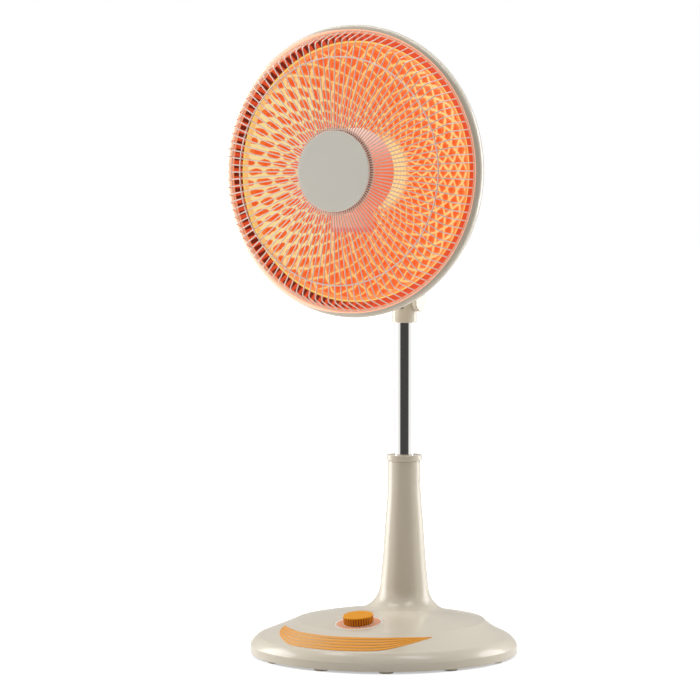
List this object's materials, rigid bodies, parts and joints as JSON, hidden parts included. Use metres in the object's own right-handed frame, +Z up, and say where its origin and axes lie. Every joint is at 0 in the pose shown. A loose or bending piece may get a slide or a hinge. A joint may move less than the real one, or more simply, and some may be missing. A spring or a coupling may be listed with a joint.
{
  "type": "dish heater",
  "caption": "Radiant dish heater on a telescopic pedestal: round reflector with wire grille and central element, tilting and swinging head, weighted base with rotary switch.",
  "frame": {"origin": "centre of the round base on the floor", "axes": "+Z up, the dish faces -Y, the tilt knob is on +X"},
  "size_m": [0.4, 0.3749, 0.875],
  "materials": {
    "ivory_plastic": "glossy moulded ivory plastic",
    "ivory_enamel": "glossy ivory enamel on pressed steel",
    "gloss_white": "high gloss white",
    "orange_plastic": "orange moulded plastic",
    "dark_plastic": "black moulded plastic",
    "dark_rubber": "black rubber",
    "grey_rubber": "pale grey rubber",
    "dark_steel": "black painted sheet",
    "cast_iron": "rough grey cast iron",
    "zinc_steel": "zinc plated steel",
    "chrome_tube": "polished chrome",
    "copper_reflector": "copper coloured mirror with embossed dimples",
    "grille_wire": "bright plated wire",
    "hub_grey": "satin warm grey",
    "shroud_enamel": "pale heat proof enamel",
    "ceramic": "unglazed steatite ceramic",
    "quartz": "satin quartz glass",
    "hot_wire": "resistance wire, glowing"
  },
  "bodies": {
    "base": {"base_cover": "ivory_plastic", "base_plate": "dark_steel", "ballast_ring": "cast_iron", "base_feet": "grey_rubber", "plate_screws": "zinc_steel", "dial_plate": "gloss_white", "rotary_switch": "dark_plastic", "switch_nut": "zinc_steel", "terminal_block": "ivory_plastic", "tip_over_switch": "dark_plastic", "cord_inlet": "dark_rubber", "support_pole": "zinc_steel", "pole_screws": "zinc_steel", "tube_bush": "dark_plastic", "column_collar": "ivory_plastic"},
    "knob": {"control_knob": "orange_plastic", "switch_shaft": "zinc_steel"},
    "plunger": {"tip_over_plunger": "dark_plastic"},
    "mast": {"inner_tube": "chrome_tube", "tube_plug": "dark_plastic", "neck_socket": "ivory_plastic", "neck_screw": "zinc_steel", "tilt_bolt": "zinc_steel", "tilt_washer": "zinc_steel"},
    "tilt_lock": {"tilt_knob": "ivory_plastic"},
    "tilt": {"swivel_post": "ivory_plastic", "swivel_washer": "zinc_steel", "yoke_plate": "zinc_steel", "yoke_nut": "zinc_steel"},
    "crank": {"crank_disc": "zinc_steel"},
    "head": {"swivel_bush": "dark_plastic", "housing_body": "ivory_plastic", "housing_cover": "ivory_plastic", "housing_screws": "zinc_steel", "back_bowl": "ivory_enamel", "bowl_screws": "zinc_steel", "rim_ring": "ivory_plastic", "reflector": "copper_reflector", "front_grille": "grille_wire", "hub_cap": "hub_grey", "hub_clamp": "zinc_steel", "clamp_screws": "zinc_steel", "element_shroud": "shroud_enamel", "shroud_bracket": "zinc_steel", "element_post": "ceramic", "post_nuts": "zinc_steel", "quartz_tube": "quartz", "heating_coil": "hot_wire", "tube_end_caps": "ceramic", "thermal_cutout": "dark_plastic", "head_terminal": "ceramic", "motor_bracket": "zinc_steel", "oscillation_motor": "zinc_steel", "motor_screws": "zinc_steel"}
  },
  "joints": [
    {"name": "knob_turn", "type": "hinge", "parent": "base", "child": "knob", "pos_m": [0, -0.072, 0.05234], "axis": [0, -0.144, 0.9896], "range_deg": [-270, 0]},
    {"name": "plunger_slide", "type": "slide", "parent": "base", "child": "plunger", "axis": [0, 0, -1], "range_m": [0, 0.005], "stiffness_N_per_m": 40, "springref_m": 0.01},
    {"name": "mast_slide", "type": "slide", "parent": "base", "child": "mast", "axis": [0, 0, 1], "range_m": [-0.16, 0]},
    {"name": "tilt_lock_turn", "type": "hinge", "parent": "mast", "child": "tilt_lock", "pos_m": [0.021, 0.06, 0.494], "axis": [1, 0, 0], "range_deg": [-180, 0]},
    {"name": "head_tilt", "type": "hinge", "parent": "mast", "child": "tilt", "pos_m": [0, 0.06, 0.494], "axis": [1, 0, 0], "range_deg": [-25, 10]},
    {"name": "head_swivel", "type": "hinge", "parent": "tilt", "child": "head", "pos_m": [0, 0.06, 0.58], "axis": [0, 0, 1], "range_deg": [-28.18, 28.18]},
    {"name": "crank_turn", "type": "hinge", "parent": "head", "child": "crank", "pos_m": [0, 0.032, 0.609], "axis": [0, 0, 1], "range_deg": [-90.5, 90.5]}
  ],
  "couplings": [
    {"joint": "crank_turn", "follows": "head_swivel", "ratio": -3.1939}
  ]
}
